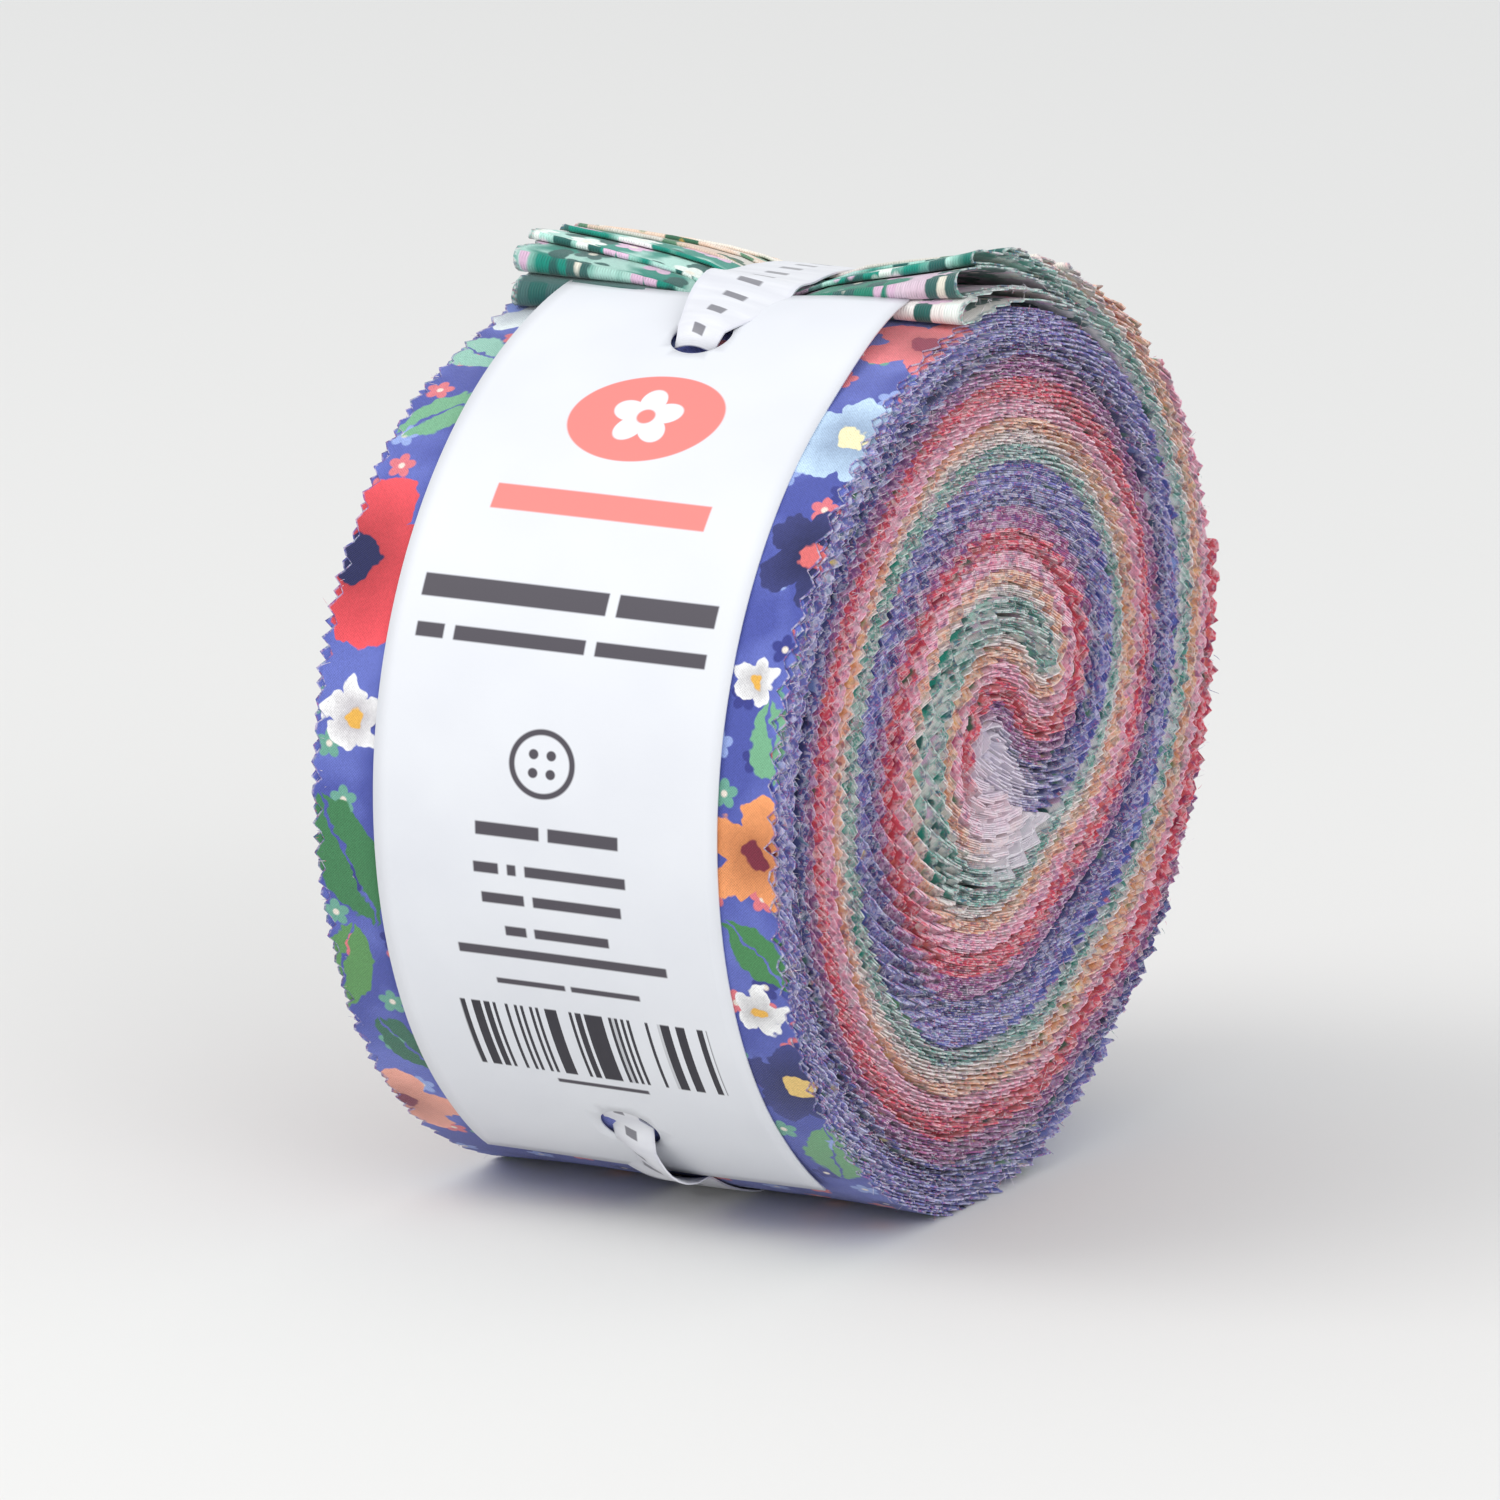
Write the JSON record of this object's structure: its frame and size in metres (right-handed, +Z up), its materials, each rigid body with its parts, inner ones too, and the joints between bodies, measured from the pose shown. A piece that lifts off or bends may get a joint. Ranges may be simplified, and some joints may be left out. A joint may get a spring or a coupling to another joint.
{
  "type": "pre-cut fabric strip roll",
  "caption": "Roll of folded, pinked cotton quilting strips, tied round the middle with a satin ribbon threaded through a paper label card.",
  "frame": {"origin": "on the surface the roll stands on, under the centre of the winding, half way between its two flat ends", "axes": "+X along the roll's axis towards the end from which the winding is seen to go outward counter-clockwise, -Y towards the label card, +Z up"},
  "size_m": [0.0636, 0.1254, 0.1138],
  "materials": {
    "teal_cotton": "printed plain-weave quilting cotton, pinked edges",
    "cream_cotton": "printed plain-weave quilting cotton, pinked edges",
    "orange_cotton": "printed plain-weave quilting cotton, pinked edges",
    "pink_cotton": "printed plain-weave quilting cotton, pinked edges",
    "red_cotton": "printed plain-weave quilting cotton, pinked edges",
    "plum_cotton": "printed plain-weave quilting cotton, pinked edges",
    "navy_cotton": "printed plain-weave quilting cotton, pinked edges",
    "periwinkle_cotton": "printed plain-weave quilting cotton, pinked edges",
    "floral_cotton": "printed plain-weave quilting cotton, pinked edges",
    "card": "smooth white card, matt print",
    "satin": "white satin ribbon"
  },
  "bodies": {
    "roll": {"strip_01_teal": "teal_cotton", "strip_02_teal": "teal_cotton", "strip_03_teal": "teal_cotton", "strip_04_teal": "teal_cotton", "strip_05_cream": "cream_cotton", "strip_06_cream": "cream_cotton", "strip_07_cream": "cream_cotton", "strip_08_cream": "cream_cotton", "strip_09_orange": "orange_cotton", "strip_10_orange": "orange_cotton", "strip_11_orange": "orange_cotton", "strip_12_pink": "pink_cotton", "strip_13_pink": "pink_cotton", "strip_14_pink": "pink_cotton", "strip_15_pink": "pink_cotton", "strip_16_pink": "pink_cotton", "strip_17_red": "red_cotton", "strip_18_red": "red_cotton", "strip_19_red": "red_cotton", "strip_20_red": "red_cotton", "strip_21_red": "red_cotton", "strip_22_red": "red_cotton", "strip_23_plum": "plum_cotton", "strip_24_plum": "plum_cotton", "strip_25_plum": "plum_cotton", "strip_26_plum": "plum_cotton", "strip_27_plum": "plum_cotton", "strip_28_plum": "plum_cotton", "strip_29_navy": "navy_cotton", "strip_30_navy": "navy_cotton", "strip_31_navy": "navy_cotton", "strip_32_navy": "navy_cotton", "strip_33_periwinkle": "periwinkle_cotton", "strip_34_periwinkle": "periwinkle_cotton", "strip_35_periwinkle": "periwinkle_cotton", "strip_36_periwinkle": "periwinkle_cotton", "strip_37_periwinkle": "periwinkle_cotton", "strip_38_periwinkle": "periwinkle_cotton", "strip_39_floral": "floral_cotton", "strip_40_floral": "floral_cotton"},
    "band": {"label_card": "card", "ribbon": "satin"}
  },
  "joints": [
    {"name": "band_slide", "type": "slide", "parent": "roll", "child": "band", "axis": [-1, 0, 0], "range_m": [0, 0.06]}
  ]
}
